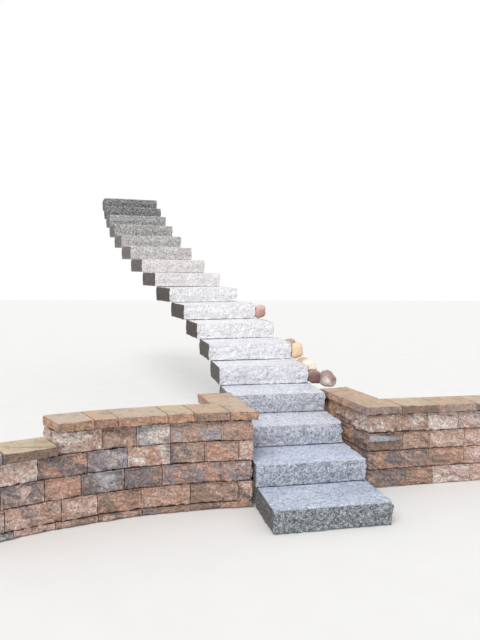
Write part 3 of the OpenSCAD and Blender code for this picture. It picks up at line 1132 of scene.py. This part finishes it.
# %% [markdown]
# A cobble is worn pale at one end, where it is washed clean, and keeps its colour and its spots
# elsewhere. The mesh keeps how near a point lies to that end, so one finish with other colours
# does for all five.

# %% The cobbles' finish
PALE_FLECK = paint(250, 244, 232)


def stone_finish(name, main, clean, dark, clean_from):
    """A cobble's finish, from the colours of its body, its clean end and its spots, and how far
    along it the clean end starts."""
    stone = Finish(name)
    mottle = stone.noise(30.0, 5.0, 0.65) - 0.5
    washed = stone.brought("towards", "Fac") + mottle * 0.7
    washed = stone.between(washed, clean_from - 0.1, clean_from + 0.3)
    body = stone.mix(washed, paint(*main), paint(*clean))
    spots = stone.noise(90.0, 4.0, 0.7)
    body = stone.mix(stone.between(spots, 0.54, 0.7) * 0.55, body, paint(*dark))
    flecks = stone.between(stone.crystals(260.0), 0.88, 0.97)
    body = stone.mix(flecks * 0.3, body, PALE_FLECK)
    fine = stone.noise(280.0, 3.0, 0.6)
    pits = stone.noise(48.0, 4.0, 0.6)
    skin = stone.bump(pits, 0.005, stone.bump(fine, 0.0014))
    return stone.surface(body, 0.82 + spots * 0.1, skin)


def weigh_end(mesh, direction):
    """Keeps how near each point lies to one end, from 0 to 1, for the finish to read."""
    reach = [v.co.dot(Vector(direction)) for v in mesh.vertices]
    low, high = min(reach), max(reach)
    layer = mesh.attributes.new("towards", "FLOAT", "POINT")
    layer.data.foreach_set("value", [(r - low) / (high - low) for r in reach])


STONE_TONES = {
    "split_stone": ((132, 100, 94), (166, 136, 128), (76, 58, 56), 0.62),
    "long_cobble": ((210, 172, 138), (252, 243, 226), (150, 114, 90), 0.50),
    "upright_cobbles": ((192, 166, 146), (246, 220, 186), (168, 134, 104), 0.60),
    "round_cobble": ((198, 152, 142), (222, 188, 180), (140, 104, 98), 0.60),
    "outer_cobble": ((166, 142, 138), (240, 230, 222), (112, 96, 96), 0.66),
}

# %% [markdown]
# The fieldstones have the form of their nodes, but a real cobble has no flat facets. A copy of
# each node is merged into one skin, remeshed into small even cells, smoothed, longer for the round
# ones, and then dented by noise. The split ones get flat faces first, cut by bisecting, and keep
# their edges.

# %% Shaping a cobble
MERGE_WITHIN = 0.0002
STONE_CELL = 0.006
SMOOTHING = 0.5


def merged_copy(node, name):
    """A copy of a node as one closed skin, free of the frame's own labels."""
    merged = own_copy(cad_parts[node], name)
    for label in list(merged.keys()):
        del merged[label]
    merged.parent = None
    merged.hide_render = False
    only(merged)
    start_edit()
    bpy.ops.mesh.remove_doubles(threshold=MERGE_WITHIN)
    end_edit()
    return merged


def split_flat(stone, direction, share):
    """Splits a flat face on a stone that looks one way, at a share of its reach that way."""
    out = Vector(direction).normalized()
    centre = sum((v.co for v in stone.data.vertices), Vector()) / len(stone.data.vertices)
    reach = max((v.co - centre).dot(out) for v in stone.data.vertices)
    start_edit()
    cut = centre + out * reach * share
    bpy.ops.mesh.bisect(plane_co=cut, plane_no=out, use_fill=True, clear_outer=True)
    end_edit()


def wear_smooth(stone, rounds):
    """Remeshes a stone into small even cells and smooths it over a number of rounds."""
    remesh = stone.modifiers.new("skin", "REMESH")
    remesh.mode = "VOXEL"
    remesh.voxel_size = STONE_CELL
    bpy.ops.object.modifier_apply(modifier=remesh.name)
    smooth = stone.modifiers.new("worn", "SMOOTH")
    smooth.iterations = rounds
    smooth.factor = SMOOTHING
    bpy.ops.object.modifier_apply(modifier=smooth.name)


# %% [markdown]
# Each cobble says its name, which way its washed end points, how deep its dents are, how many
# rounds of smoothing it gets, and the level of the dents, which is low where the stone stands a
# little proud of its node.

# %% Making the cobbles
STONES = (
    ("split_stone", (0, 0, 1), 0.014, 1, 0.0),
    ("long_cobble", (0.2, -0.9, 0), 0.016, 6, -0.45),
    ("upright_cobbles", (0.1, -1, -0.1), 0.016, 6, -0.25),
    ("round_cobble", (0, -0.2, 1), 0.012, 10, 0.1),
    ("outer_cobble", (-0.5, -1, -1.2), 0.016, 1, 0.1),
)
FLATS = {
    "split_stone": (((-0.2, -1, 0), 0.75), ((0.1, 0, 1), 0.85)),
    "outer_cobble": (((0.6, -0.3, 0.8), 0.6), ((0.5, -0.9, -0.1), 0.72)),
}
COBBLE_CREASE = math.radians(50)
dents = new_noise("dents", 0.07)
for number, (name, washed_end, strength, rounds, level) in enumerate(STONES, 1):
    node = f"edging_stone_{number}"
    cobble = merged_copy(node, name)
    for direction, share in FLATS.get(name, ()):
        split_flat(cobble, direction, share)
    wear_smooth(cobble, rounds)
    break_stone(cobble, ((dents, strength, level, None),), COBBLE_CREASE)
    weigh_end(cobble.data, washed_end)
    hand_over(cobble, node, stone_finish(name, *STONE_TONES[name]))
    print(name, len(cobble.data.polygons))

# %% [markdown]
# Last, the dressed pieces and their triangles are counted. The dressed part has to stay in the
# solids' box, but for a little relief.

# %% Counting the pieces
meshes = [thing for thing in scene.objects if thing.type == "MESH"]
shown = [piece for piece in meshes if "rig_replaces" in piece]
triangles = sum(len(face.vertices) - 2 for piece in shown for face in piece.data.polygons)
print("pieces:", len(shown), "triangles:", triangles)
bpy.context.view_layer.update()
